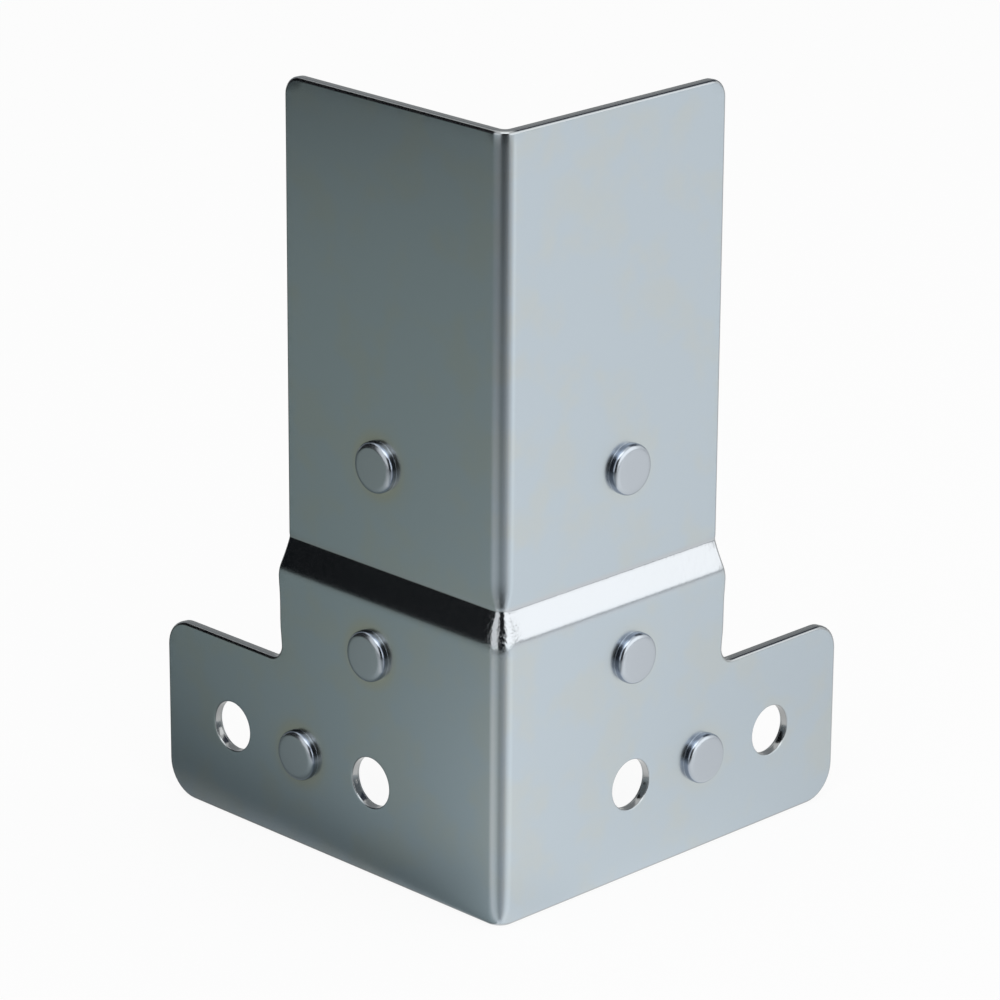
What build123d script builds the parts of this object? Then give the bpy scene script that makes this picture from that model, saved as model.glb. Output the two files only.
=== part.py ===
"""Corner brace: one plated steel sheet folded square on a vertical line.

Above a sloped joggle, which also wraps round the fold, both legs are set in and
end plainly. Below it each leg is wider by an ear. Every leg has two through
holes and three drawn studs. All lengths are millimetres.

Frame: Z runs up the fold and the bottom edges lie at Z = 0. One leg runs along
+X with its outer faces towards -Y, the other along +Y with its outer faces
towards -X. While it is built, the fold's lower outer corner is at X = Y = 0,
and the finished brace is centred on the Z axis.
"""

import os

from build123d import *

# Sheet
sheet_t = 0.95
fold_inner_r = 0.65
edge_roll = 0.32

# Outline of one leg
height = 76.2
leg_width = 30.0
ear_length = 16.5
ear_height = 18.5
top_corner_r = 1.9
notch_r = 1.5
ear_top_r = 2.9
ear_bottom_r = 3.5

# Joggle
joggle_depth = 1.1
joggle_rise = 3.0
joggle_above_ear = 9.2
joggle_low_r = 2.8
joggle_high_r = 0.9

# Through holes
hole_d = 5.0
hole_bevel = 0.15
hole_row_z = 9.5
inner_hole_x = 17.5
outer_hole_inset = 9.4

# Drawn studs
stud_d = 5.0
stud_height = 0.85
stud_crown = 0.05
stud_root_bevel = 0.12
stud_rim_r = 0.48
stud_wall = 0.62
stud_cap_t = 0.8
recess_bevel = 0.2
stud_below_joggle = 5.2
stud_above_joggle = 10.3

# Values worked out from the sizes above
fold_outer_r = fold_inner_r + sheet_t
ear_reach = leg_width + ear_length
joggle_low_z = ear_height + joggle_above_ear
joggle_high_z = joggle_low_z + joggle_rise
outer_hole_x = ear_reach - outer_hole_inset
row_stud_x = (inner_hole_x + outer_hole_x) / 2
low_stud_z = joggle_low_z - stud_below_joggle
high_stud_z = joggle_high_z + stud_above_joggle
stud_r = stud_d / 2
recess_r = stud_r - stud_wall
recess_depth = stud_height + sheet_t - stud_cap_t
blank_reach = ear_reach + joggle_depth
plan_centre = (ear_reach - stud_height - stud_crown) / 2
fold_centre = (fold_outer_r, fold_outer_r)
fold_mirror = Plane(origin=(0, 0, 0), x_dir=(1, 1, 0), z_dir=(1, -1, 0))
hole_places = [(inner_hole_x, hole_row_z), (outer_hole_x, hole_row_z)]

# Place along the leg, height, and depth of the outer face there
stud_places = [
    (inner_hole_x, high_stud_z, joggle_depth),
    (inner_hole_x, low_stud_z, 0),
    (row_stud_x, hole_row_z, 0),
]

os.makedirs("parts", exist_ok=True)

with BuildPart() as corner_brace:
    # Half of the folded section, carried up along the joggled corner line
    with BuildLine() as corner_line:
        FilletPolyline(
            (0, 0, 0),
            (0, 0, joggle_low_z),
            (joggle_depth, joggle_depth, joggle_high_z),
            (joggle_depth, joggle_depth, height),
            radius=(joggle_low_r, joggle_high_r),
        )
    with BuildSketch(Plane.XY):
        with BuildLine():
            outer_arc = CenterArc(fold_centre, fold_outer_r, 225, 45)
            inner_arc = CenterArc(fold_centre, fold_inner_r, 225, 45)
            Line(outer_arc @ 0, inner_arc @ 0)
            Polyline(outer_arc @ 1, (blank_reach, 0), (blank_reach, sheet_t), inner_arc @ 1)
        make_face()
    sweep(path=corner_line.line, normal=(0, 0, 1))

    # Outline of the leg
    with BuildSketch(Plane.XZ) as outline:
        Rectangle(leg_width, height, align=(Align.MIN, Align.MIN))
        Rectangle(ear_reach, ear_height, align=(Align.MIN, Align.MIN))
        ear_end = outline.vertices().group_by(Axis.X)[-1].sort_by(Axis.Y)
        shoulder = outline.vertices().group_by(Axis.X)[-2].sort_by(Axis.Y)
        fillet(ear_end[0], ear_bottom_r)
        fillet(ear_end[-1], ear_top_r)
        fillet(shoulder[0], notch_r)
        fillet(shoulder[-1], top_corner_r)
    extrude(amount=blank_reach, both=True, mode=Mode.INTERSECT)

    # Edge rolled over by the blanking punch, all round the outer face
    outer_faces = corner_brace.faces().filter_by(lambda face: face.normal_at().Y < -0.5)
    cut_faces = corner_brace.faces().filter_by(lambda face: abs(face.normal_at().Y) < 0.01)
    fillet(outer_faces.edges() & cut_faces.edges(), edge_roll)

    # Through holes, with the mouth in the outer face eased
    with BuildSketch(Plane.XZ):
        with Locations(*hole_places):
            Circle(hole_d / 2)
    extrude(amount=blank_reach, both=True, mode=Mode.SUBTRACT)
    chamfer(corner_brace.edges(Select.LAST).group_by(Axis.Y)[0], hole_bevel)

    # Crowned studs drawn out of the sheet, each hollow from behind
    for stud_x, stud_z, face_y in stud_places:
        stud_seat = Plane(origin=(stud_x, face_y, stud_z), x_dir=(1, 0, 0), z_dir=(0, 0, -1))
        with BuildSketch(stud_seat) as stud_profile:
            with BuildLine():
                Polyline((0, stud_height + stud_crown), (0, 0), (stud_r, 0), (stud_r, stud_height))
                TangentArc((0, stud_height + stud_crown), (stud_r, stud_height), tangent=(1, 0))
            make_face()
            fillet(stud_profile.vertices().group_by(Axis.X)[-1].sort_by(Axis.Y)[-1], stud_rim_r)
        revolve(axis=Axis(stud_seat.origin, stud_seat.y_dir))
        chamfer(corner_brace.edges(Select.LAST).group_by(Axis.Y)[-1], stud_root_bevel)

        with BuildSketch(Plane.XZ.offset(-face_y - sheet_t)):
            with Locations((stud_x, stud_z)):
                Circle(recess_r)
        extrude(amount=recess_depth, mode=Mode.SUBTRACT)
        recess_rims = corner_brace.edges(Select.LAST).filter_by(GeomType.CIRCLE)
        chamfer(recess_rims, recess_bevel)

    mirror(about=fold_mirror)

corner_brace.part.move(Location((-plan_centre, -plan_centre, 0)))
corner_brace.part.label = "corner_brace"
export_step(corner_brace.part, "parts/corner_brace.step")
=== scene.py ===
"""Zinc-plated corner brace: the folded sheet's fine skin, its finish and a small photo studio.

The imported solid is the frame. The skin made here has the same sizes, and adds what a press and a
plating bath leave on such a part: rolled edges, torn cut faces, drawn studs with soft shoulders, and
a sheet that isn't perfectly flat. Lengths in the classes are millimetres, and the mesh is in metres.
"""

from __future__ import annotations

import logging
import math
from dataclasses import dataclass, field
from enum import Enum

import bmesh
import bpy
from mathutils import Matrix, Vector, noise
from mathutils.geometry import delaunay_2d_cdt

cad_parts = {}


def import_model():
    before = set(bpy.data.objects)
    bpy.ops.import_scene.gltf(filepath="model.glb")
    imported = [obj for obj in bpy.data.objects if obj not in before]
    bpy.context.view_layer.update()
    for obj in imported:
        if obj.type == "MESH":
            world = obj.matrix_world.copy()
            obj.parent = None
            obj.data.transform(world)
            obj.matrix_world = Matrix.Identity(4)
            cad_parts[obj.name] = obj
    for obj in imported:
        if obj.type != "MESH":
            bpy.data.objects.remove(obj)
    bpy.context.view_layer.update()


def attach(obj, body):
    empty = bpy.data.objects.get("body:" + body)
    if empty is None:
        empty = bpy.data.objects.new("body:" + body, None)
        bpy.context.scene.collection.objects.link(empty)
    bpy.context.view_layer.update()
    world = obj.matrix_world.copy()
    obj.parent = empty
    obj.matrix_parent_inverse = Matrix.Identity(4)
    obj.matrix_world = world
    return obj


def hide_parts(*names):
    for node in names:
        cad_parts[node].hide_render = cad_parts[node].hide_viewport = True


LOG = logging.getLogger("corner_brace")
MM = 0.001
WHITE = "#FFFFFF"

# Lengths closer than this are the same
SAME = 1e-6

# Points that share a cell are welded, and the shift keeps round sizes off the cells' limits
CELLS_PER_MM = 5000
CELL_SHIFT = 0.137

# Angles round the fold, on the mirror plane and where the leg begins
FOLD_MIDDLE = 225.0
FOLD_END = 270.0

# Edges bent more than this stay sharp
SHARP_ANGLE = 38.0

# The studio is laid out from the side that the camera looks from, round the brace's middle
CAMERA_SIDE = 225.6
OBJECT_MIDDLE = 38.0

Point2 = tuple[float, float]
Point3 = tuple[float, float, float]
Tree = bpy.types.NodeTree
Socket = bpy.types.NodeSocket


def linear(hex_colour: str) -> tuple[float, float, float, float]:
    """Turns an sRGB hex colour into linear light, by the sRGB standard's own limits and factors.

    Args:
        hex_colour: six hex digits after a hash.

    Returns:
        Red, green, blue and an alpha of 1.
    """
    digits = hex_colour.lstrip("#")
    parts = [int(digits[i : i + 2], 16) / 255 for i in (0, 2, 4)]
    light = [c / 12.92 if c <= 0.04045 else ((c + 0.055) / 1.055) ** 2.4 for c in parts]
    return light[0], light[1], light[2], 1.0


def smoothstep(low: float, high: float, value: float) -> float:
    """Rises smoothly from 0 at low to 1 at high, and gives the height reached at value."""
    share = min(max((value - low) / (high - low), 0.0), 1.0)
    return share * share * (3 - 2 * share)


def bell(offset: float) -> float:
    """Falls from 1 at an offset of 0 towards 0 on both sides, as a bell curve does."""
    return math.exp(-offset * offset)


def steps(start: float, end: float, count: int) -> list[float]:
    """Gives count + 1 evenly spaced numbers from start to end."""
    return [start + (end - start) * i / count for i in range(count + 1)]


def quarter(count: int) -> list[Point2]:
    """Gives a rounded edge of radius 1 in count steps, as distances inwards from its two faces."""
    return [(1 - math.sin(a), 1 - math.cos(a)) for a in map(math.radians, steps(0, 90, count))]


class Leg(Enum):
    """The two legs, with the number that seeds each one's unevenness."""

    RIGHT = 11.3
    LEFT = 47.9


class Mark(Enum):
    """What the skin's points carry for the finish."""

    # The cut mark also carries painted shade along the rolled edges
    CUT = "cut_face"
    TORN = "torn_zone"
    STUD = "stud_wall"
    HALO = "strained_ring"
    # The stud wall mark also carries the drawn walls' painted shade
    BEND = "bend"
    STRETCH = "stretched_corner"
    CAP = "stud_cap"


Marks = dict[Mark, float]
CUT_MARKS: Marks = {Mark.CUT: 1.0}
TORN_MARKS: Marks = {Mark.CUT: 1.0, Mark.TORN: 1.0}


@dataclass
class Skin:
    """A closed skin whose points are welded as they are added."""

    points: list[Point3] = field(default_factory=list)
    faces: list[tuple[int, ...]] = field(default_factory=list)
    marks: dict[Mark, list[float]] = field(default_factory=lambda: {m: [] for m in Mark})
    places: dict[tuple[int, ...], int] = field(default_factory=dict)

    def point(self, place: Point3, marks: Marks) -> int:
        """Adds a point, or finds the one already there.

        Args:
            place: where it lies.
            marks: the marks it carries, each 0 where it isn't given.

        Returns:
            The point's number.
        """
        key = tuple(round(c * CELLS_PER_MM + CELL_SHIFT) for c in place)
        if key not in self.places:
            self.places[key] = len(self.points)
            self.points.append(place)
            for mark, values in self.marks.items():
                values.append(marks.get(mark, 0.0))
        return self.places[key]

    def strip(self, first: list[int], second: list[int], closed: bool = False) -> None:
        """Joins two rows of points with four-sided faces.

        Args:
            first: one row of point numbers.
            second: the other row, as long as the first.
            closed: whether the rows run round and end where they begin.
        """
        count = len(first)
        for i in range(count if closed else count - 1):
            k = (i + 1) % count
            face = tuple(dict.fromkeys([first[i], first[k], second[k], second[i]]))
            if len(face) > 2:
                self.faces.append(face)

    def fan(self, row: list[int], centre: int) -> None:
        """Closes a round row of points onto one point in its middle."""
        for i, number in enumerate(row):
            self.faces.append((number, row[(i + 1) % len(row)], centre))


@dataclass(frozen=True)
class Joggle:
    """The sloped step across both legs that sets the upper portion in."""

    depth: float = 1.1
    low_z: float = 27.7
    rise: float = 3.0
    low_r: float = 2.8
    high_r: float = 0.9
    groove_depth: float = 0.04
    groove_width: float = 0.2
    groove_span: float = 2.5
    low_steps: int = 9
    slope_steps: int = 4
    high_steps: int = 7

    @property
    def high_z(self) -> float:
        """Height of the upper crease."""
        return self.low_z + self.rise

    @property
    def slope(self) -> float:
        """The slope of the corner line, which runs along both legs' diagonal."""
        return math.atan2(self.depth * math.sqrt(2), self.rise)

    @property
    def low_reach(self) -> float:
        """How far the lower bend reaches from its corner."""
        return self.low_r * math.tan(self.slope / 2)

    @property
    def high_reach(self) -> float:
        """How far the upper bend reaches from its corner."""
        return self.high_r * math.tan(self.slope / 2)

    def inset(self, z: float) -> float:
        """How far the sheet is set in at a height.

        Args:
            z: the height.

        Returns:
            The inset, from 0 below the joggle to its depth above.
        """
        low, high = self.low_z, self.high_z
        full = self.depth * math.sqrt(2)
        if z <= low - self.low_reach:
            along = 0.0
        elif z <= low + self.low_reach * math.cos(self.slope):
            along = self.low_r - math.sqrt(self.low_r**2 - (z - low + self.low_reach) ** 2)
        elif z <= high - self.high_reach * math.cos(self.slope):
            along = (z - low) * math.tan(self.slope)
        elif z <= high + self.high_reach:
            along = full - self.high_r + math.sqrt(self.high_r**2 - (high + self.high_reach - z) ** 2)
        else:
            along = full
        groove = bell((z - high - self.high_reach) / self.groove_width)
        return along / math.sqrt(2) + self.groove_depth * groove

    def rows(self) -> list[float]:
        """Heights of the rows of points that follow both bends and the slope between them.

        Returns:
            The heights from below upwards.
        """
        low, high = self.low_z, self.high_z
        rise_share = math.cos(self.slope)
        lower = steps(low - self.low_reach, low + self.low_reach * rise_share, self.low_steps)
        upper = steps(high - self.high_reach * rise_share, high + self.high_reach, self.high_steps)
        groove = steps(upper[-1], upper[-1] + self.groove_span * self.groove_width, self.high_steps)
        return lower + steps(lower[-1], upper[0], self.slope_steps)[1:-1] + upper[:-1] + groove


@dataclass(frozen=True)
class Sheet:
    """The sheet, its fold and the outline of one leg."""

    thickness: float = 0.95
    fold_inner_r: float = 0.65
    height: float = 76.2
    leg_width: float = 30.0
    ear_length: float = 16.5
    ear_height: float = 18.5
    top_corner_r: float = 1.9
    notch_r: float = 1.5
    ear_top_r: float = 2.9
    ear_bottom_r: float = 3.5
    roll: float = 0.37
    joggle: Joggle = Joggle()
    pinch: float = 0.42
    pinch_z: float = 30.9
    pinch_reach: float = 1.3
    spread: float = 0.2
    spread_above_ear: Point2 = (1.2, 4.0)
    bulge: float = 0.16
    bulge_below_joggle: float = 0.6
    bulge_reach: float = 1.5

    @property
    def fold_r(self) -> float:
        """The fold's outer radius."""
        return self.fold_inner_r + self.thickness

    @property
    def reach(self) -> float:
        """How far the ears reach from the corner."""
        return self.leg_width + self.ear_length

    def fold_r_at(self, z: float, depth: float) -> float:
        """The fold's radius at a place; the joggle's upper crease pinches the outer face there.

        Args:
            z: the height.
            depth: depth below the outer face.

        Returns:
            The radius.
        """
        pinched = self.pinch * bell((z - self.pinch_z) / self.pinch_reach)
        outer = self.fold_r * (1 - pinched)
        return outer + (self.fold_inner_r - outer) * depth / self.thickness

    def fold_begin(self, z: float, depth: float) -> float:
        """Distance from the corner at which the flat leg becomes the fold, at a height and depth."""
        return self.joggle.inset(z) + depth + self.fold_r_at(z, depth)

    def edge_spread(self, z: float) -> float:
        """How far the joggle has pushed the leg's upright edge out.

        Args:
            z: the height.

        Returns:
            The distance outwards.
        """
        low, high = (self.ear_height + above for above in self.spread_above_ear)
        wide = smoothstep(low, high, z) * (1 - smoothstep(self.joggle.low_z, self.joggle.high_z, z))
        away = (z - self.joggle.low_z + self.bulge_below_joggle) / self.bulge_reach
        return self.spread * wide + self.bulge * bell(away)


@dataclass(frozen=True)
class EdgePoint:
    """A point on a leg's outline, with the direction that faces out of the sheet."""

    x: float
    z: float
    out_x: float
    out_z: float

    def inwards(self, distance: float) -> Point2:
        """The point that far inside the outline."""
        return self.x - self.out_x * distance, self.z - self.out_z * distance


@dataclass(frozen=True)
class Outline:
    """The outline of one leg, from the fold's foot round the ear to the fold's top."""

    sheet: Sheet
    spacing: float = 0.9
    row_clearance: float = 0.3
    corner_steps: int = 10

    def straight(self, start: Point2, end: Point2, out: Point2, rows: list[float]) -> list[EdgePoint]:
        """Points along a straight edge, without its last one.

        Args:
            start: where the edge begins.
            end: where it ends.
            out: the direction that faces out of the sheet.
            rows: heights at which the upright edge beside the joggle must have a point.

        Returns:
            The points in order.
        """
        count = max(1, round(math.dist(start, end) / self.spacing))
        places = list(zip(steps(start[0], end[0], count), steps(start[1], end[1], count)))[:-1]
        if rows:
            low, high = min(rows) - self.row_clearance, max(rows) + self.row_clearance
            kept = [p for p in places if not low < p[1] < high]
            places = sorted(kept + [(start[0], z) for z in rows], key=lambda p: p[1])
            places = [(x + self.sheet.edge_spread(z), z) for x, z in places]
        return [EdgePoint(x, z, *out) for x, z in places]

    def corner(self, centre: Point2, radius: float, start: float, end: float) -> list[EdgePoint]:
        """Points round a corner, without its last one.

        Args:
            centre: the middle of the corner's arc.
            radius: the arc's radius.
            start: the arc's first angle in degrees.
            end: its last angle; it is smaller than start for a hollow corner.

        Returns:
            The points in order.
        """
        side = 1 if end > start else -1
        found = []
        for turn in map(math.radians, steps(start, end, self.corner_steps)[:-1]):
            c, s = math.cos(turn), math.sin(turn)
            found.append(EdgePoint(centre[0] + radius * c, centre[1] + radius * s, side * c, side * s))
        return found

    def points(self) -> list[EdgePoint]:
        """The whole outline of the leg, apart from the side that joins the fold.

        Returns:
            The points in order.
        """
        s = self.sheet
        foot, top = s.fold_r, s.fold_r + s.joggle.depth
        low_r, ear_r, in_r, top_r = s.ear_bottom_r, s.ear_top_r, s.notch_r, s.top_corner_r
        right, shoulder = s.reach, s.leg_width
        return [
            *self.straight((foot, 0), (right - low_r, 0), (0, -1), []),
            *self.corner((right - low_r, low_r), low_r, -90, 0),
            *self.straight((right, low_r), (right, s.ear_height - ear_r), (1, 0), []),
            *self.corner((right - ear_r, s.ear_height - ear_r), ear_r, 0, 90),
            *self.straight((right - ear_r, s.ear_height), (shoulder + in_r, s.ear_height), (0, 1), []),
            *self.corner((shoulder + in_r, s.ear_height + in_r), in_r, 270, 180),
            *self.straight(
                (shoulder, s.ear_height + in_r), (shoulder, s.height - top_r), (1, 0), s.joggle.rows()
            ),
            *self.corner((shoulder - top_r, s.height - top_r), top_r, 0, 90),
            *self.straight((shoulder - top_r, s.height), (top, s.height), (0, 1), []),
            EdgePoint(top, s.height, 0, 1),
        ]


@dataclass(frozen=True)
class RoundForm:
    """A round hole or stud on a leg: a profile turned about its own middle."""

    x: float
    z: float
    sides: int = 72

    def from_middle(self, x: float, z: float) -> float:
        """Distance of a place on the leg from the middle."""
        return math.hypot(x - self.x, z - self.z)

    def ring(self, radius: float) -> list[Point2]:
        """Places on a circle round the middle, in the leg's plane."""
        turns = [2 * math.pi * i / self.sides for i in range(self.sides)]
        return [(self.x + radius * math.cos(a), self.z + radius * math.sin(a)) for a in turns]

    def turn(self, skin: Skin, profile: list[Point2], face_y: float, marks: list[Marks]) -> None:
        """Turns a profile into rows of points joined by faces.

        Args:
            skin: the skin that gets them.
            profile: radius and depth of each row; a last radius of 0 closes it.
            face_y: depth of the leg's outer face there.
            marks: the marks of each row.
        """
        last: list[int] = []
        for (radius, depth), row_marks in zip(profile, marks):
            if radius == 0:
                skin.fan(last, skin.point((self.x, face_y + depth, self.z), row_marks))
                break
            row = [skin.point((x, face_y + depth, z), row_marks) for x, z in self.ring(radius)]
            if last:
                skin.strip(last, row, closed=True)
            last = row


@dataclass(frozen=True)
class RivetHole(RoundForm):
    """A punched through hole, with a rolled mouth, a burnished bore and a torn exit."""

    radius: float = 2.5
    mouth: float = 0.15
    mouth_steps: int = 6
    burnished_share: float = 0.78
    last_burnished: float = 0.06
    first_torn: float = 0.03
    last_torn: float = 0.08
    tear: float = 0.03
    tear_shares: Point2 = (0.4, 0.6)

    @property
    def outer_r(self) -> float:
        """Radius where the mouth meets the outer face."""
        return self.radius + self.mouth

    @property
    def inner_r(self) -> float:
        """Radius where the torn exit meets the inner face."""
        return self.radius + self.tear

    def build(self, skin: Skin, sheet: Sheet, face_y: float) -> None:
        """Adds the bore between both faces.

        Args:
            skin: the skin that gets it.
            sheet: the sheet it is punched through.
            face_y: depth of the outer face there.
        """
        line = sheet.thickness * self.burnished_share
        begin, middle = (self.radius + self.tear * share for share in self.tear_shares)
        profile = [
            *((self.radius + self.mouth * a, self.mouth * b) for a, b in quarter(self.mouth_steps)),
            (self.radius, line - self.last_burnished),
            (begin, line + self.first_torn),
            (middle, sheet.thickness - self.last_torn),
            (self.inner_r, sheet.thickness),
        ]
        mouth_marks: list[Marks] = [{Mark.CUT: share} for share in steps(0, 1, self.mouth_steps)]
        self.turn(skin, profile, face_y, [*mouth_marks, CUT_MARKS, TORN_MARKS, TORN_MARKS, TORN_MARKS])


@dataclass(frozen=True)
class DrawnStud(RoundForm):
    """A stud drawn out of the sheet, with a rounded rim and shoulder, hollow from behind."""

    radius: float = 2.5
    proud: float = 0.88
    root_r: float = 0.02
    root_steps: int = 5
    wall_steps: int = 3
    rim_r: float = 0.45
    rim_steps: int = 6
    shoulder_r: float = 0.9
    shoulder_slope: float = 28.0
    shoulder_steps: int = 7
    wall: float = 0.62
    cap_thickness: float = 0.8
    recess_bevel: float = 0.2
    recess_steps: int = 4
    recess_ring_share: float = 0.4

    @property
    def wall_top(self) -> float:
        """Height at which the upright wall turns into the rim."""
        turn = math.radians(self.shoulder_slope)
        return self.proud - self.shoulder_r * (1 - math.cos(turn)) - self.rim_r * math.cos(turn)

    @property
    def outer_r(self) -> float:
        """Radius where the root meets the outer face."""
        return self.radius + self.root_r

    @property
    def inner_r(self) -> float:
        """Radius where the recess meets the inner face."""
        return self.radius - self.wall + self.recess_bevel

    def outer_profile(self) -> list[Point2]:
        """The profile from the root over the wall, the rim and the shoulder to the cap's middle.

        Returns:
            Radius and depth of its points.
        """
        root = [(self.radius + self.root_r * a, -self.root_r * b) for a, b in quarter(self.root_steps)]
        wall = [(self.radius, -height) for height in steps(2 * self.root_r, self.wall_top, self.wall_steps)]
        rim = [
            (self.radius - self.rim_r * (1 - math.cos(a)), -(self.wall_top + self.rim_r * math.sin(a)))
            for a in map(math.radians, steps(0, 90 - self.shoulder_slope, self.rim_steps)[1:])
        ]
        flat_r = rim[-1][0] - self.shoulder_r * math.sin(math.radians(self.shoulder_slope))
        shoulder = [
            (flat_r + self.shoulder_r * math.sin(a), -(self.proud - self.shoulder_r * (1 - math.cos(a))))
            for a in map(math.radians, steps(self.shoulder_slope, 0, self.shoulder_steps)[1:])
        ]
        return root + wall + rim + shoulder + [(flat_r / 2, -self.proud), (0, -self.proud)]

    def inner_profile(self, face: float) -> list[Point2]:
        """The profile from the inner face down the recess to its flat end.

        Args:
            face: depth of the inner face.

        Returns:
            Radius and depth of its points.
        """
        recess_r = self.radius - self.wall
        end = -(self.proud - self.cap_thickness)
        bevel = self.recess_bevel
        arc = quarter(self.recess_steps)
        mouth = [(recess_r + bevel * a, face - bevel * b) for a, b in arc]
        foot = [(recess_r - bevel * b, end + bevel * a) for a, b in arc]
        return mouth + foot + [(recess_r * self.recess_ring_share, end), (0, end)]

    def build(self, skin: Skin, sheet: Sheet, face_y: float) -> None:
        """Adds the stud and the recess behind it.

        Args:
            skin: the skin that gets them.
            sheet: the sheet they are drawn out of.
            face_y: depth of the outer face there.
        """
        outer = self.outer_profile()
        marks = []
        for _, depth in outer:
            cap = smoothstep(self.wall_top, self.wall_top + self.rim_r, -depth)
            wall = smoothstep(0.0, self.root_r, -depth) * (1 - cap)
            # The wall mark also carries the painted shade of the drawn walls' darker tint
            marks.append({Mark.STUD: wall, Mark.CAP: cap})
        self.turn(skin, outer, face_y, marks)
        inner = self.inner_profile(sheet.thickness)
        self.turn(skin, inner, face_y, [{} for _ in inner])


Rings = list[tuple[RoundForm, float]]


def place_key(x: float, z: float) -> Point2:
    """Rounds a place, so that equal places have equal keys."""
    return round(x, 4), round(z, 4)


def inside(border: list[Point2], place: Point2) -> bool:
    """Whether a place lies inside a closed border.

    Args:
        border: the border's corners in order.
        place: the place to test.

    Returns:
        True where it lies inside.
    """
    x, z = place
    within = False
    for (x0, z0), (x1, z1) in zip(border, border[1:] + border[:1]):
        if (z0 > z) != (z1 > z) and x < x0 + (z - z0) * (x1 - x0) / (z1 - z0):
            within = not within
    return within


def add_mesh(name: str, places: list[Point3], faces: list[tuple[int, ...]]) -> bpy.types.Object:
    """Makes a mesh object and links it into the scene.

    Args:
        name: the object's name.
        places: its points in metres.
        faces: the point numbers of each face.

    Returns:
        The new object.
    """
    mesh = bpy.data.meshes.new(name)
    mesh.from_pydata(places, [], faces)
    piece = bpy.data.objects.new(name, mesh)
    bpy.context.scene.collection.objects.link(piece)
    return piece


def settle(mesh: bpy.types.Mesh) -> None:
    """Turns all faces outwards, smooths them and keeps the cut edges sharp.

    Args:
        mesh: the closed mesh.
    """
    work = bmesh.new()
    work.from_mesh(mesh)
    bmesh.ops.recalc_face_normals(work, faces=work.faces)
    loose = sum(1 for e in work.edges if not e.is_manifold)
    for face in work.faces:
        face.smooth = True
    for edge in work.edges:
        edge.smooth = not edge.is_manifold or edge.calc_face_angle() < math.radians(SHARP_ANGLE)
    work.to_mesh(mesh)
    work.free()
    triangles = sum(len(p.vertices) - 2 for p in mesh.polygons)
    LOG.info("skin: %d triangles, %d open edges", triangles, loose)


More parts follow.
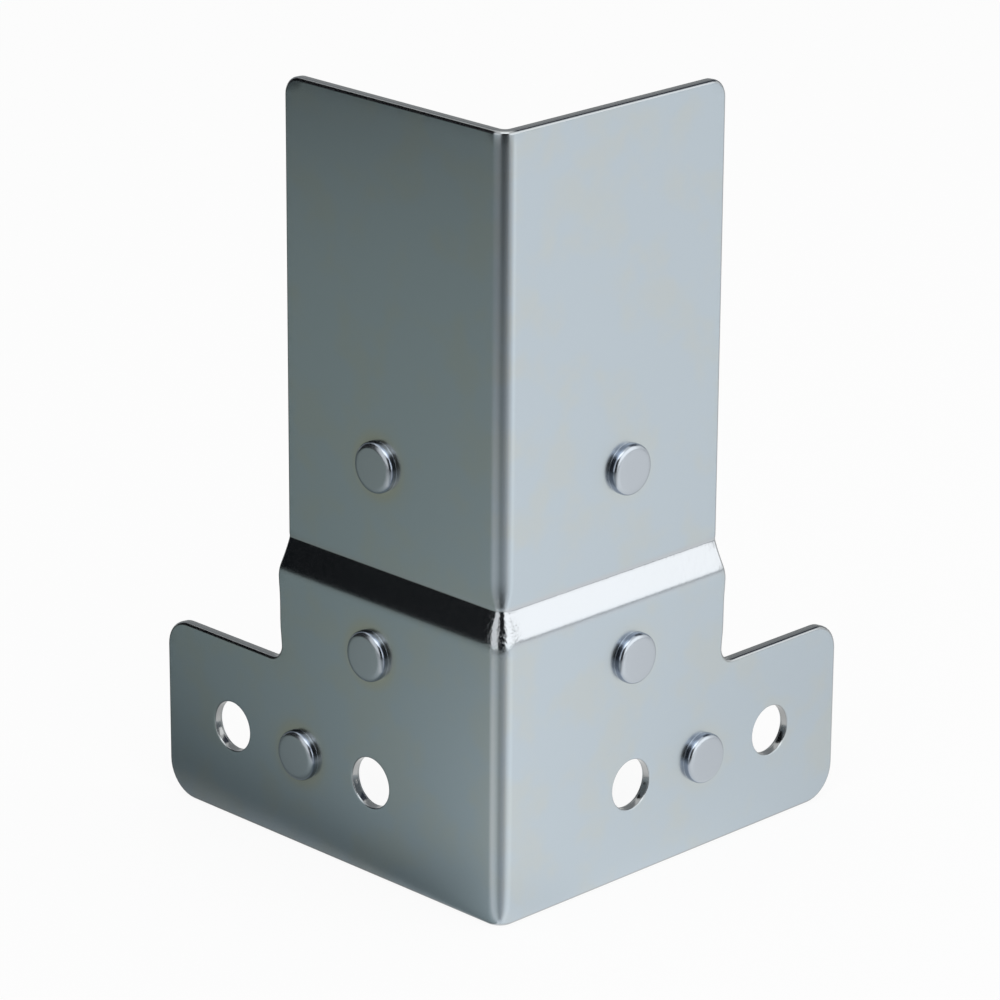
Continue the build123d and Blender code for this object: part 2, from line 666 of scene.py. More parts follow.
@dataclass
class FoldedBrace:
    """The whole brace: a folded, joggled sheet with rivet holes and drawn studs."""

    sheet: Sheet = Sheet()
    hole_row_z: float = 9.5
    inner_hole_x: float = 17.5
    outer_hole_inset: float = 9.4
    stud_below_joggle: float = 5.2
    stud_above_joggle: float = 10.3

    # Rows across the cut edge: torn rows are given by inset and share of the thickness
    roll_steps: int = 7
    burnished_share: float = 0.56
    tear_rows: tuple[Point2, ...] = ((0.008, 0.62), (0.02, 0.85), (0.03, 1.0))
    inner_row: float = 0.1

    # Spacing of the points
    grid: float = 1.15
    grid_clearance: float = 0.55
    merge_distance: float = 1e-5
    fold_steps: int = 9
    ring_steps: tuple[float, ...] = (0.3, 0.75, 1.3)

    # Unevenness of the sheet, which the fold keeps straight close by
    waviness: float = 0.02
    wave_length: float = 22.0
    dish_depth: float = 0.012
    dish_width: float = 1.6
    stiff_beside_fold: Point2 = (1.7, 6.0)

    # Reach of the marks
    bend_lead: float = 0.4
    bend_fade: float = 0.8
    halo_width: float = 1.1
    right_halo: float = 0.35
    stretch_middle: float = 0.45
    stretch_rise: float = 0.75
    stretch_across: float = 0.8

    skin: Skin = field(default_factory=Skin)

    @property
    def plan_centre(self) -> float:
        """How far the frame's origin lies from the fold's corner, along each leg."""
        return (self.sheet.reach - self.studs()[0].proud) / 2

    @property
    def outer_hole_x(self) -> float:
        """Distance of the outer hole along the leg."""
        return self.sheet.reach - self.outer_hole_inset

    @property
    def fold_angles(self) -> list[float]:
        """Angles of the rows of points round half of the fold."""
        return steps(FOLD_MIDDLE, FOLD_END, self.fold_steps)

    def holes(self) -> list[RivetHole]:
        """The through holes of one leg."""
        return [RivetHole(x, self.hole_row_z) for x in (self.inner_hole_x, self.outer_hole_x)]

    def studs(self) -> list[DrawnStud]:
        """The drawn studs of one leg.

        Returns:
            The one above the joggle, the one below it and the one between the holes.
        """
        joggle = self.sheet.joggle
        return [
            DrawnStud(self.inner_hole_x, joggle.high_z + self.stud_above_joggle),
            DrawnStud(self.inner_hole_x, joggle.low_z - self.stud_below_joggle),
            DrawnStud((self.inner_hole_x + self.outer_hole_x) / 2, self.hole_row_z),
        ]

    def fold_rows(self) -> list[float]:
        """Heights of the rows of points along the fold, between the rolled edges.

        Returns:
            The heights from below upwards.
        """
        rows = self.sheet.joggle.rows()
        low, high = self.sheet.roll, self.sheet.height - self.sheet.roll
        below = steps(low, rows[0], round((rows[0] - low) / self.grid))
        above = steps(rows[-1], high, round((high - rows[-1]) / self.grid))
        return below[:-1] + rows + above[1:]

    def bend_mark(self, z: float) -> float:
        """How strongly the sheet is bent at a height.

        Args:
            z: the height.

        Returns:
            A number from 0 to 1.
        """
        low, high = self.sheet.joggle.low_z, self.sheet.joggle.high_z
        begun = smoothstep(low - self.bend_lead, low + self.bend_fade, z)
        return begun * (1 - smoothstep(high, high + self.bend_fade, z))

    def halo_mark(self, x: float, z: float) -> float:
        """How close a place on a leg is to a stud, where the metal is strained."""
        nearest = min(s.from_middle(x, z) - s.outer_r for s in self.studs())
        return bell(max(nearest, 0.0) / self.halo_width)

    def stretch_mark(self, past_fold: float, z: float) -> float:
        """How strongly the sheet is stretched where the joggle runs over the fold.

        Args:
            past_fold: distance from the end of the fold, along the leg.
            z: the height.

        Returns:
            A number from 0 to 1.
        """
        low, rise = self.sheet.joggle.low_z, self.sheet.joggle.rise
        up = (z - low - rise * self.stretch_middle) / (rise * self.stretch_rise)
        across = max(past_fold, 0.0) / self.stretch_across
        return math.exp(-up * up - across * across)

    def flat_point(self, x: float, z: float, depth: float, marks: Marks) -> int:
        """Adds a point of the leg's flat part.

        Args:
            x: distance along the leg.
            z: the height.
            depth: depth below the outer face.
            marks: marks of its own.

        Returns:
            The point's number.
        """
        own = {
            Mark.BEND: self.bend_mark(z),
            Mark.HALO: self.halo_mark(x, z),
            Mark.STRETCH: self.stretch_mark(x - self.sheet.fold_begin(z, depth), z),
            **marks,
        }
        return self.skin.point((x, self.sheet.joggle.inset(z) + depth, z), own)

    def fold_point(self, degrees: float, z: float, depth: float, marks: Marks) -> int:
        """Adds a point of the rounded fold.

        Args:
            degrees: angle round the fold.
            z: the height.
            depth: depth below the outer face.
            marks: marks of its own.

        Returns:
            The point's number.
        """
        centre = self.sheet.fold_begin(z, depth)
        if degrees == FOLD_END:
            return self.flat_point(centre, z, depth, marks)
        radius = self.sheet.fold_r_at(z, depth)
        turn = math.radians(degrees)
        own = {Mark.BEND: self.bend_mark(z), Mark.STRETCH: self.stretch_mark(0.0, z), **marks}
        x = centre + radius * math.cos(turn)
        y = x if degrees == FOLD_MIDDLE else centre + radius * math.sin(turn)
        return self.skin.point((x, y, z), own)

    def fill_face(self, depth: float, edge: list[Point2], rings: Rings) -> None:
        """Fills the flat part of one face with triangles.

        Args:
            depth: depth below the outer face.
            edge: the leg's edge from the fold's foot to its top.
            rings: each round form with the radius at which it leaves this face.
        """
        fold_edge = [(self.sheet.fold_begin(z, depth), z) for z in self.fold_rows()]
        if depth:
            fold_edge = [edge[0], *fold_edge, edge[-1]]
        border = edge + fold_edge[::-1][1:-1]
        places = list(border)
        lines = [(i, (i + 1) % len(border)) for i in range(len(border))]
        for form, radius in rings:
            first = len(places)
            places += form.ring(radius)
            lines += [(first + i, first + (i + 1) % form.sides) for i in range(form.sides)]
            for step in self.ring_steps:
                places += form.ring(radius + step)[::2]
        at_place = {place_key(*place): i for i, place in enumerate(border)}
        for z in self.sheet.joggle.rows():
            start = self.sheet.fold_begin(z, depth)
            end = max(x for x, row_z in edge if abs(row_z - z) < SAME)
            across = steps(start, end, round((end - start) / self.grid))[1:-1]
            numbers = range(len(places), len(places) + len(across))
            places += [(x, z) for x in across]
            row = [at_place[place_key(start, z)], *numbers, at_place[place_key(end, z)]]
            lines += list(zip(row, row[1:]))
        places += self.grid_places(border, rings)
        flat = [Vector(p) for p in places]
        found = delaunay_2d_cdt(flat, lines, [], 0, self.merge_distance, True)
        self.add_triangles(depth, border, rings, places, [[found[3][v][0] for v in f] for f in found[2]])

    def add_triangles(
        self,
        depth: float,
        border: list[Point2],
        rings: Rings,
        places: list[Point2],
        triangles: list[list[int]],
    ) -> None:
        """Adds the triangles that lie within the border and outside the round forms.

        Args:
            depth: depth below the outer face.
            border: the face's closed border.
            rings: each round form with its radius on this face.
            places: the places of all corners.
            triangles: the corners of each triangle.
        """
        points: dict[int, int] = {}
        for corners in triangles:
            x, z = (sum(places[c][axis] for c in corners) / 3 for axis in (0, 1))
            in_form = any(f.from_middle(x, z) < r * math.cos(math.pi / f.sides) for f, r in rings)
            if in_form or not inside(border, (x, z)):
                continue
            for corner in corners:
                if corner not in points:
                    points[corner] = self.flat_point(*places[corner], depth, {})
            self.skin.faces.append(tuple(points[c] for c in corners))

    def grid_places(self, border: list[Point2], rings: Rings) -> list[Point2]:
        """Staggered places inside a face, clear of its edges, its round forms and the joggle.

        Args:
            border: the face's closed border.
            rings: each round form with its radius on this face.

        Returns:
            The places.
        """
        found = []
        clear = self.grid * self.grid_clearance
        joggle_rows = self.sheet.joggle.rows()
        for k in range(1, int(self.sheet.height / self.grid)):
            z = k * self.grid
            if joggle_rows[0] - clear < z < joggle_rows[-1] + clear:
                continue
            for i in range(1, int(self.sheet.reach / self.grid)):
                x = (i + (k % 2) / 2) * self.grid
                if any(f.from_middle(x, z) < r + self.ring_steps[-1] + clear for f, r in rings):
                    continue
                if inside(border, (x, z)) and min(math.dist(corner, (x, z)) for corner in border) > clear:
                    found.append((x, z))
        return found

    def rim_profile(self) -> list[tuple[float, float, Marks]]:
        """The rows of points across the cut edge, from the outer face to the inner one.

        Returns:
            Each row's inset, depth and marks.
        """
        roll, face = self.sheet.roll, self.sheet.thickness
        # The cut faces' grey rises fast across the roll: painted shade along every rolled edge
        rolled = [(roll * a, roll * b, {Mark.CUT: math.sqrt(1 - a)}) for a, b in quarter(self.roll_steps)]
        torn = [(inset, face * share, TORN_MARKS) for inset, share in self.tear_rows]
        return [*rolled, (0.0, face * self.burnished_share, CUT_MARKS), *torn, (self.inner_row, face, {})]

    def settled(self, edge_point: EdgePoint, inset: float) -> Point2:
        """A place inside the outline, no closer to the corner than the fold begins at its height."""
        x, z = edge_point.inwards(inset)
        return max(x, self.sheet.fold_r + self.sheet.joggle.inset(z)), z

    def build_rim(self, outline: list[EdgePoint]) -> None:
        """Adds the rolled edge and the cut face round the leg and half of the fold.

        Args:
            outline: the leg's outline.
        """
        last: list[int] = []
        for inset, depth, marks in self.rim_profile():
            top_z = self.sheet.height - inset
            row = [
                *(self.fold_point(a, inset, depth, marks) for a in self.fold_angles[:-1]),
                *(self.flat_point(*self.settled(p, inset), depth, marks) for p in outline),
                *(self.fold_point(a, top_z, depth, marks) for a in self.fold_angles[-2::-1]),
            ]
            if last:
                self.skin.strip(last, row)
            last = row

    def build_fold(self) -> None:
        """Adds both faces of half of the fold."""
        outer = self.fold_rows()
        inner = [self.inner_row, *outer, self.sheet.height - self.inner_row]
        for depth, heights in ((0.0, outer), (self.sheet.thickness, inner)):
            rows = [[self.fold_point(a, z, depth, {}) for z in heights] for a in self.fold_angles]
            for first, second in zip(rows, rows[1:]):
                self.skin.strip(first, second)

    def build_half(self) -> None:
        """Adds one leg with its half of the fold, before it is warped."""
        outline = Outline(self.sheet).points()
        self.build_rim(outline)
        self.build_fold()
        forms = [*self.holes(), *self.studs()]
        outer_edge = [self.settled(p, self.sheet.roll) for p in outline]
        inner_edge = [self.settled(p, self.inner_row) for p in outline]
        self.fill_face(0.0, outer_edge, [(f, f.outer_r) for f in forms])
        self.fill_face(self.sheet.thickness, inner_edge, [(f, f.inner_r) for f in forms])
        for form in forms:
            form.build(self.skin, self.sheet, self.sheet.joggle.inset(form.z))

    def warp(self, leg: Leg, x: float, z: float) -> float:
        """How far the sheet departs from flat at a place on a leg, inwards positive.

        Args:
            leg: the leg, whose seed gives it waves of its own.
            x: distance along the leg.
            z: the height.

        Returns:
            The departure in millimetres.
        """
        free = smoothstep(*self.stiff_beside_fold, x)
        wave = noise.noise(Vector((x / self.wave_length, leg.value, z / self.wave_length)))
        dish = sum(bell((s.from_middle(x, z) - s.radius) / self.dish_width) for s in self.studs())
        return free * (self.waviness * wave + self.dish_depth * min(dish, 1.0))

    def build(self) -> bpy.types.Object:
        """Makes both legs' skin as one closed mesh.

        Returns:
            The mesh object, in the frame's place.
        """
        self.build_half()
        shift = self.plan_centre
        on_mirror = [abs(x - y) < SAME for x, y, _ in self.skin.points]
        places = [
            ((x - shift) * MM, (y + self.warp(Leg.RIGHT, x, z) - shift) * MM, z * MM)
            for x, y, z in self.skin.points
        ]
        twin = list(range(len(places)))
        for i, (x, y, z) in enumerate(self.skin.points):
            if not on_mirror[i]:
                twin[i] = len(places)
                places.append(((y + self.warp(Leg.LEFT, x, z) - shift) * MM, (x - shift) * MM, z * MM))
        left_faces = [tuple(twin[v] for v in reversed(f)) for f in self.skin.faces]
        piece = add_mesh("plated_brace", places, self.skin.faces + left_faces)
        piece.data.name = "plated_sheet"
        for mark, values in self.skin.marks.items():
            layer = piece.data.attributes.new(mark.value, "FLOAT", "POINT")
            right_share = self.right_halo if mark is Mark.HALO else 1.0
            left = [v for i, v in enumerate(values) if not on_mirror[i]]
            layer.data.foreach_set("value", [v * right_share for v in values] + left)
        settle(piece.data)
        keep = piece.modifiers.new("even_flats", "WEIGHTED_NORMAL")
        keep.keep_sharp = True
        return piece

    def dress(self, piece: bpy.types.Object, finish: ZincPlate) -> None:
        """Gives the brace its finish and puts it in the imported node's place.

        Args:
            piece: the brace's mesh object.
            finish: its finish.
        """
        piece.data.materials.append(finish.material())
        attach(piece, "root")
        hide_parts("corner_brace")


def add_node(
    tree: Tree,
    kind: str,
    values: dict[str | int, object] | None = None,
    links: dict[str | int, Socket] | None = None,
    **settings: object,
) -> bpy.types.Node:
    """Adds a shader node with its settings and links.

    Args:
        tree: the node tree that gets it.
        kind: Blender's name for the node's type, after ShaderNode.
        values: the fixed value of each input, by its name or number.
        links: the output that feeds each input, by its name or number.
        **settings: the node's own settings.

    Returns:
        The new node.
    """
    node = tree.nodes.new("ShaderNode" + kind)
    for name, setting in settings.items():
        setattr(node, name, setting)
    for name, value in (values or {}).items():
        node.inputs[name].default_value = value
    for name, output in (links or {}).items():
        tree.links.new(output, node.inputs[name])
    return node


def new_tree(block: bpy.types.Material | bpy.types.World) -> Tree:
    """Gives a material or a world an empty node tree.

    Args:
        block: the material or the world.

    Returns:
        The tree.
    """
    block.use_nodes = True
    block.node_tree.nodes.clear()
    return block.node_tree


def dress_with(piece: bpy.types.Object, name: str) -> Tree:
    """Gives a piece a new material.

    Args:
        piece: the piece that gets it.
        name: the material's name.

    Returns:
        The material's empty node tree.
    """
    material = bpy.data.materials.new(name)
    piece.data.materials.append(material)
    return new_tree(material)


def set_surface(tree: Tree, shader: bpy.types.Node, kind: str = "OutputMaterial") -> None:
    """Makes a shader the surface that a material or a world shows."""
    add_node(tree, kind, links={"Surface": shader.outputs[0]})


class Blend(Enum):
    """What a mix node blends: the node's word for it, its first input and its output."""

    NUMBER = ("FLOAT", 2, 0)
    COLOUR = ("RGBA", 6, 2)


@dataclass(frozen=True)
class ZincPlate:
    """Electroplated zinc with a clear blue passivation, on cold-rolled sheet.

    It gives the eye a cool satin metal, a little straw-coloured where the film is thicker and where
    the studs strained the sheet, smoother on the bends and the drawn walls, and dull on torn edges.
    The drawn walls' darker tint is painted shade, and the cut faces' grey that runs onto the rolled
    edges is painted shade along them.
    """

    cool: str = "#BBC6CE"
    straw: str = "#C4C5BA"
    cap: str = "#B8BFC6"
    # Darker than the cool plating: painted shade on the drawn stud walls
    drawn: str = "#8E97A8"
    bent: str = "#C1C5C9"
    # Grey of the cut faces; on the rolled edges it is painted shade along the edges
    cut: str = "#A2A4A4"
    patch_share: float = 0.3
    patch_size: float = 5.0
    patch_low: float = 0.44
    patch_high: float = 0.66
    flat_roughness: float = 0.26
    bend_roughness: float = 0.15
    stud_roughness: float = 0.12
    cut_roughness: float = 0.16
    torn_roughness: float = 0.42
    grain_width: float = 0.25
    grain_stretch: float = 25.0
    grain_height: float = 0.0007
    crease_width: float = 0.3
    crease_stretch: float = 3.0
    crease_height: float = 0.012
    wrinkle_size: float = 0.3
    wrinkle_height: float = 0.06
    tear_size: float = 0.2
    tear_stretch: float = 3.0
    tear_height: float = 0.02
    noise_detail: float = 3.0

    def material(self) -> bpy.types.Material:
        """Makes the material.

        Returns:
            The new material.
        """
        material = bpy.data.materials.new("zinc_plated_steel_blue_passivated")
        tree = new_tree(material)
        marks = {m: add_node(tree, "Attribute", attribute_name=m.value).outputs["Fac"] for m in Mark}
        plating = PlatingTree(self, tree, marks, add_node(tree, "TexCoord").outputs["Object"])
        looks = {
            "Base Color": plating.colour(),
            "Roughness": plating.roughness(),
            "Normal": plating.relief(),
        }
        set_surface(tree, add_node(tree, "BsdfPrincipled", {"Metallic": 1.0}, looks))
        return material


@dataclass(frozen=True)
class PlatingTree:
    """The plating's node tree while it is made, with the skin's marks and the object's coordinates."""

    finish: ZincPlate
    tree: Tree
    marks: dict[Mark, Socket]
    place: Socket

    def noise(self, size: float, stretch: float = 1.0) -> Socket:
        """Adds a noise pattern whose spots have a real size.

        Args:
            size: width of the spots in millimetres.
            stretch: how many times longer than wide the spots are, upwards.

        Returns:
            The pattern's output.
        """
        place = self.place
        if stretch != 1.0:
            scale = {"Scale": (1.0, 1.0, 1 / stretch)}
            place = add_node(self.tree, "Mapping", scale, {"Vector": place}).outputs[0]
        spots = {"Scale": 1 / (size * MM), "Detail": self.finish.noise_detail}
        return add_node(self.tree, "TexNoise", spots, {"Vector": place}).outputs["Fac"]

    def layered(self, base: object, layers: list[tuple[Socket, object]], blend: Blend) -> Socket:
        """Lays values over one another, each where its mask is 1.

        Args:
            base: the value below all layers.
            layers: the mask and the value of each layer, from below upwards.
            blend: what the values are.

        Returns:
            The output with the finished value.
        """
        word, first, output = blend.value
        result = None
        for mask, value in layers:
            links = {0: mask}
            if result is not None:
                links[first] = result
            pair = {first: base, first + 1: value}
            result = add_node(self.tree, "Mix", pair, links, data_type=word).outputs[output]
        return result

    def colour(self) -> Socket:
        """Adds the plating's colour: cool, straw in patches and round the studs, greyer on cut faces,
        with painted shade on the drawn walls and along the rolled edges.

        Returns:
            The colour's output.
        """
        finish, marks = self.finish, self.marks
        limits = {"From Min": finish.patch_low, "From Max": finish.patch_high, "To Max": finish.patch_share}
        spots = {"Value": self.noise(finish.patch_size)}
        patches = add_node(self.tree, "MapRange", limits, spots, interpolation_type="SMOOTHSTEP")
        both = {0: patches.outputs[0], 1: marks[Mark.HALO]}
        share = add_node(self.tree, "Math", links=both, operation="MAXIMUM")
        tints = [
            (share.outputs[0], finish.straw),
            (marks[Mark.BEND], finish.bent),
            (marks[Mark.CAP], finish.cap),
            # Painted shade: the drawn walls are coloured darker
            (marks[Mark.STUD], finish.drawn),
            # Cut grey, which is also painted shade along the rolled edges
            (marks[Mark.CUT], finish.cut),
        ]
        layers = [(mask, linear(tint)) for mask, tint in tints]
        return self.layered(linear(finish.cool), layers, Blend.COLOUR)

    def roughness(self) -> Socket:
        """Adds the roughness: satin flats, smoother bends and stud walls, torn cut faces.

        Returns:
            The roughness's output.
        """
        layers = [
            (self.marks[Mark.BEND], self.finish.bend_roughness),
            (self.marks[Mark.STUD], self.finish.stud_roughness),
            (self.marks[Mark.CUT], self.finish.cut_roughness),
            (self.marks[Mark.TORN], self.finish.torn_roughness),
        ]
        return self.layered(self.finish.flat_roughness, layers, Blend.NUMBER)

    def relief(self) -> Socket:
        """Adds the fine relief: rolling grain, creases on the joggle, wrinkles and torn metal.

        The grain is drawn wider than the real one, which is too fine to show in the render.

        Returns:
            The output with the bent normal.
        """
        finish = self.finish
        layers = [
            (self.noise(finish.grain_width, finish.grain_stretch), None, finish.grain_height),
            (self.noise(finish.crease_width, finish.crease_stretch), Mark.BEND, finish.crease_height),
            (self.noise(finish.wrinkle_size), Mark.STRETCH, finish.wrinkle_height),
            (self.noise(finish.tear_size, finish.tear_stretch), Mark.TORN, finish.tear_height),
        ]
        normal = None
        for pattern, mark, height in layers:
            if mark is not None:
                both = {0: pattern, 1: self.marks[mark]}
                pattern = add_node(self.tree, "Math", links=both, operation="MULTIPLY").outputs[0]
            links = {"Height": pattern}
            if normal is not None:
                links["Normal"] = normal
            heights = {"Strength": 1.0, "Distance": height * MM}
            normal = add_node(self.tree, "Bump", heights, links).outputs[0]
        return normal


def show_in_metal_only(card: bpy.types.Object) -> None:
    """Keeps a card out of everything but the metal's reflections, and out of the object.

    Args:
        card: the card.
    """
    card.visible_camera = False
    card.visible_diffuse = False
    card.visible_shadow = False
    card.visible_transmission = False


@dataclass(frozen=True)
class Softbox:
    """A lamp with a plain rectangular face that looks at the brace.

    It hangs by its bearing from the camera's side, its rise and its distance. The power factor is
    what a lamp of one square metre needs for a radiance of 1.
    """

    name: str
    bearing: float
    rise: float
    distance: float
    size: Point2
    radiance: float
    power_factor: float = 4.0

    def build(self) -> None:
        """Hangs the softbox; in the metal it adds its radiance to the white behind it."""
        turn, lift = math.radians(CAMERA_SIDE + self.bearing), math.radians(self.rise)
        flat = Vector((math.cos(turn), math.sin(turn), math.tan(lift)))
        middle = Vector((0, 0, OBJECT_MIDDLE))
        place = (flat * self.distance + middle) * MM
        aim = (middle * MM - place).to_track_quat("-Z", "Y").to_matrix().to_4x4()
        light = bpy.data.lights.new(self.name, "AREA")
        light.shape = "RECTANGLE"
        light.size, light.size_y = self.size[0] * MM, self.size[1] * MM
        light.energy = self.radiance * self.power_factor * light.size * light.size_y
        lamp = bpy.data.objects.new(self.name, light)
        lamp.matrix_world = Matrix.Translation(place) @ aim
        bpy.context.scene.collection.objects.link(lamp)


@dataclass(frozen=True)
class Flag:
    """An upright plain glowing card facing the brace: a painted reflection, seen only in the metal.

    It stands by its bearing from the camera's side and its distance, between two heights.
    """

    name: str
    grey: str
    bearing: float
    distance: float
    width: float
    heights: Point2

    def build(self) -> None:
        """Stands the flag up."""
        turn = math.radians(CAMERA_SIDE + self.bearing)
        c, s = math.cos(turn), math.sin(turn)
        low, high = self.heights
        half = self.width / 2
        places = [
            ((c * self.distance - s * across) * MM, (s * self.distance + c * across) * MM, z * MM)
            for across, z in ((-half, low), (half, low), (half, high), (-half, high))
        ]
        flag = add_mesh(self.name, places, [(0, 1, 2, 3)])
        tree = dress_with(flag, self.name)
        set_surface(tree, add_node(tree, "Emission", {"Color": linear(self.grey), "Strength": 1.0}))
        show_in_metal_only(flag)


@dataclass(frozen=True)
class FloorTone:
    """How bright the floor looks in the metal at one bearing, close to the fold's foot and far off."""

    bearing: float
    near: str
    far: str
    reach: float = 150.0

    def light(self, distance: float) -> Vector:
        """The tone in linear light at a distance from the fold's foot."""
        share = bell(distance / self.reach)
        return Vector(linear(self.far)).lerp(Vector(linear(self.near)), share)


@dataclass(frozen=True)
class FloorShade:
    """A glowing card of painted floor shades round the object, seen only in the metal's reflections.

    The floor is bright to the right, greyer to the left, and shaded in front by whoever takes the
    picture. Beside the left leg lies that leg's own shade. The metal mirrors those shades, and the
    white background doesn't show them. All tones are set one by one.
    """

    tones: tuple[FloorTone, ...] = (
        FloorTone(-180, "#FFFFFF", "#A8A8A8", 60),
        FloorTone(-145, "#FFFFFF", "#888888", 60),
        FloorTone(-130, "#788080", "#505858", 50),
        FloorTone(-110, "#909898", "#747C78", 60),
        FloorTone(-95, "#A0A8A8", "#848C88", 70),
        FloorTone(-60, "#D8D8D8", "#505858"),
        FloorTone(-34, "#C4C8C8", "#505050"),
        FloorTone(-12, "#989C9C", "#505454"),
        FloorTone(8, "#A0A4A8", "#787878"),
        FloorTone(27, "#BCBCBC", "#949494"),
        FloorTone(48, "#F0F0F0", "#C0C0C0"),
        FloorTone(70, "#FFFFFF", "#FFFFFF"),
        FloorTone(90, "#F0F0F0", "#ECECEC"),
        FloorTone(122, "#F0F0F0", "#DCDCDC", 50),
        FloorTone(150, "#FFFFFF", "#909090", 60),
        FloorTone(180, "#FFFFFF", "#A8A8A8", 60),
    )
    foot: float = -22.8
    first_ring: float = 0.5
    last_ring: float = 520.0
    ring_count: int = 24
    sectors: int = 72
    lift: float = 0.02
    strength: float = 1.18
    left_leg_bearing: float = -135.6
    leg_shade: float = 0.3
    leg_shade_reach: float = 8.0
    leg_shade_begin: float = 16.0

    def light(self, bearing: float, distance: float) -> Vector:
        """The floor's painted light at a place, with a painted shadow of the left leg.

        Args:
            bearing: bearing from the camera's side, from -180 to 180.
            distance: distance from the fold's foot.

        Returns:
            The light's linear colour.
        """
        low, high = next(pair for pair in zip(self.tones, self.tones[1:]) if bearing <= pair[1].bearing)
        share = smoothstep(low.bearing, high.bearing, bearing)
        # Painted shadow of the left leg, darkest close beside it
        turn = math.radians(min(abs(bearing - self.left_leg_bearing), 90))
        beside = bell(distance * math.sin(turn) / self.leg_shade_reach)
        shade = 1 - self.leg_shade * beside * smoothstep(0, self.leg_shade_begin, distance)
        return low.light(distance).lerp(high.light(distance), share) * shade

    def build(self) -> None:
        """Lays the shaded card on the floor, as rings of points round the fold's foot."""
        growth = (self.last_ring / self.first_ring) ** (1 / self.ring_count)
        places, lights = [], []
        for ring in range(self.ring_count + 1):
            distance = self.first_ring * growth**ring
            for bearing in steps(-180, 180, self.sectors)[:-1]:
                turn = math.radians(CAMERA_SIDE + bearing)
                x, y = self.foot + distance * math.cos(turn), self.foot + distance * math.sin(turn)
                places.append((x * MM, y * MM, self.lift * MM))
                lights.extend(self.light(bearing, distance))
        faces = []
        for ring in range(self.ring_count):
            for k in range(self.sectors):
                a, b = ring * self.sectors + k, ring * self.sectors + (k + 1) % self.sectors
                faces.append((a, a + self.sectors, b + self.sectors, b))
        card = add_mesh("floor_shade", places, faces)
        layer = card.data.color_attributes.new("tone", "FLOAT_COLOR", "POINT")
        layer.data.foreach_set("color", lights)
        tree = dress_with(card, "shaded_floor")
        tone = add_node(tree, "Attribute", attribute_name="tone").outputs["Color"]
        set_surface(tree, add_node(tree, "Emission", {"Strength": self.strength}, {"Color": tone}))
        show_in_metal_only(card)


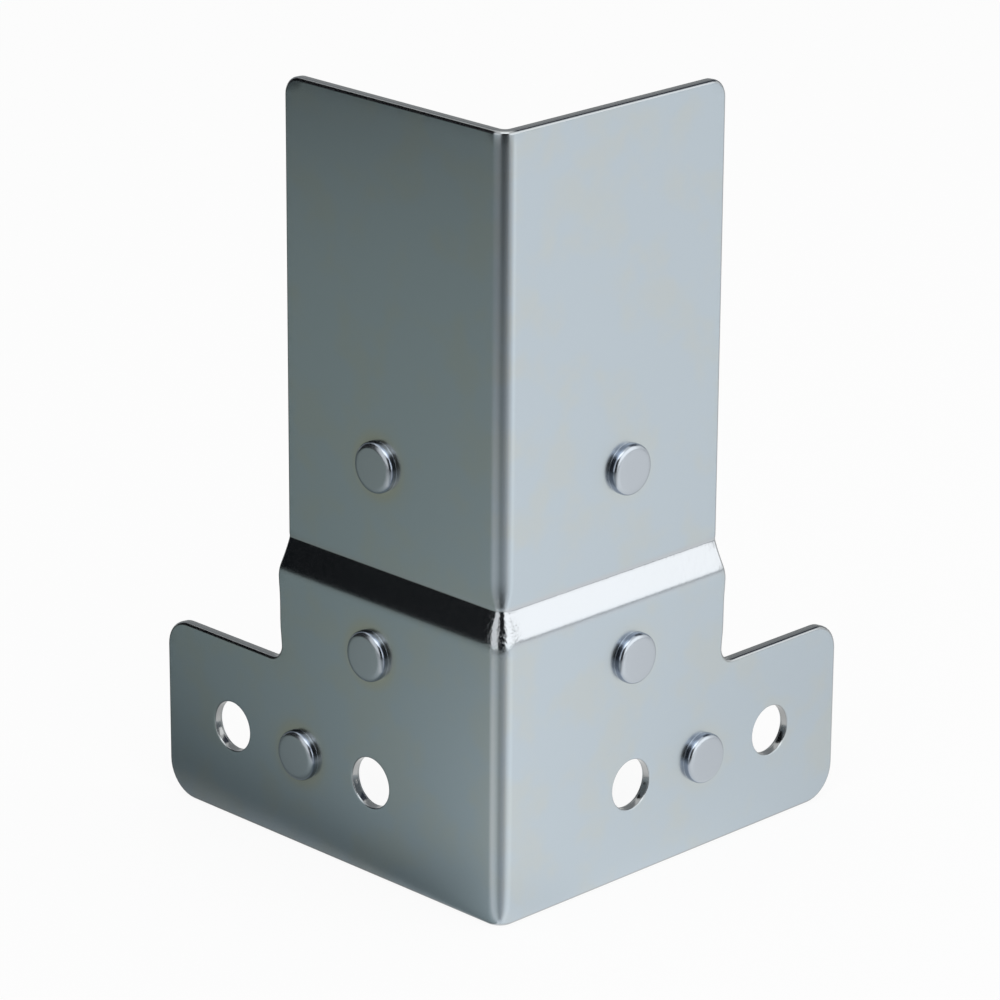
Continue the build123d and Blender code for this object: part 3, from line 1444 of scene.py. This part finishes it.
@dataclass(frozen=True)
class Studio:
    """The pale floor, the soft light and the camera."""

    camera_place: Point3 = (-312.75, -312.94, 188.71)
    heading: float = 45.05
    pitch: float = 19.621
    roll: float = 0.371
    focal_px: float = 4830.7
    frame_px: float = 1000.0
    sensor: float = 36.0
    nearest_seen: float = 10.0
    floor_size: float = 6000.0
    floor_tone: str = "#F4F4F4"
    plain_light: float = 0.7
    floor_white_share: float = 0.9

    def softboxes(self) -> list[Softbox]:
        """The lamps: a wide one to the right and one overhead."""
        return [
            Softbox("right_softbox", 56, 22, 600, (1000, 480), 0.52),
            Softbox("overhead_softbox", 0, 60, 400, (600, 420), 1.15),
        ]

    def flags(self) -> list[Flag]:
        """The glowing cards, most of them dark, that paint what the metal mirrors."""
        return [
            Flag("left_flag", "#151719", -97, 300, 300, (2, 420)),
            Flag("camera_flag", "#17191C", 1, 260, 230, (2, 256)),
            Flag("back_flag", "#A4A7AA", 180, 520, 1500, (20, 760)),
            Flag("right_back_flag", "#424855", 122, 420, 300, (260, 830)),
            Flag("right_gap_flag", "#8E9296", 80, 560, 900, (8, 46)),
        ]

    def background_ray(self, tree: Tree) -> Socket:
        """Adds an output that is 1 for camera, glossy and transmission rays and 0 for others.

        Args:
            tree: the node tree that uses it.

        Returns:
            The output.
        """
        rays = add_node(tree, "LightPath").outputs
        either = rays["Is Camera Ray"]
        for ray in ("Is Glossy Ray", "Is Transmission Ray"):
            either = add_node(tree, "Math", links={0: either, 1: rays[ray]}, operation="MAXIMUM").outputs[0]
        return either

    def build_world(self) -> None:
        """Makes the world: white where it is seen, and a plain soft light elsewhere."""
        world = bpy.data.worlds.new("soft_white_surroundings")
        bpy.context.scene.world = world
        tree = new_tree(world)
        plain, white = (
            add_node(tree, "Background", {"Color": linear(WHITE), "Strength": strength}).outputs[0]
            for strength in (self.plain_light, 1.0)
        )
        links = {0: self.background_ray(tree), 1: plain, 2: white}
        set_surface(tree, add_node(tree, "MixShader", links=links), "OutputWorld")

    def build_floor(self) -> None:
        """Makes the white floor, which keeps a little of the object's shadow."""
        half = self.floor_size / 2 * MM
        corners = [(-half, -half, 0), (half, -half, 0), (half, half, 0), (-half, half, 0)]
        floor = add_mesh("floor", corners, [(0, 1, 2, 3)])
        tree = dress_with(floor, "white_paper_floor")
        paper = add_node(tree, "BsdfDiffuse", {"Color": linear(self.floor_tone)})
        white = add_node(tree, "Emission", {"Color": linear(WHITE), "Strength": 1.0})
        seen = {0: self.background_ray(tree)}
        share = add_node(tree, "Math", {1: self.floor_white_share}, seen, operation="MULTIPLY")
        links = {0: share.outputs[0], 1: paper.outputs[0], 2: white.outputs[0]}
        set_surface(tree, add_node(tree, "MixShader", links=links))

    def build_camera(self) -> None:
        """Sets the camera up as it stood for the photograph."""
        lens = bpy.data.cameras.new("camera")
        lens.sensor_width = self.sensor
        lens.lens = self.focal_px / self.frame_px * self.sensor
        lens.clip_start = self.nearest_seen * MM
        heading, pitch, roll = (math.radians(a) for a in (self.heading, self.pitch, self.roll))
        level = math.cos(pitch)
        ahead = Vector((math.cos(heading) * level, math.sin(heading) * level, -math.sin(pitch)))
        side = ahead.cross(Vector((0, 0, 1))).normalized()
        above = side.cross(ahead)
        right = side * math.cos(roll) + above * math.sin(roll)
        up = above * math.cos(roll) - side * math.sin(roll)
        turn = Matrix((right, up, -ahead)).transposed().to_4x4()
        camera = bpy.data.objects.new("camera", lens)
        camera.matrix_world = Matrix.Translation(Vector(self.camera_place) * MM) @ turn
        bpy.context.scene.collection.objects.link(camera)
        bpy.context.scene.camera = camera

    def build(self) -> None:
        """Sets up the whole studio."""
        self.build_world()
        self.build_floor()
        for piece in [*self.softboxes(), *self.flags(), FloorShade()]:
            piece.build()
        self.build_camera()
        bpy.context.scene.view_settings.view_transform = "Standard"


def main() -> None:
    """Builds the brace and its studio."""
    logging.basicConfig(level=logging.INFO, format="%(name)s: %(message)s")
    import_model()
    brace = FoldedBrace()
    piece = brace.build()
    brace.dress(piece, ZincPlate())
    LOG.info("brace: %d points", len(piece.data.vertices))
    Studio().build()
    LOG.info("studio: floor, softboxes, flags and camera")


if __name__ == "__main__":
    main()
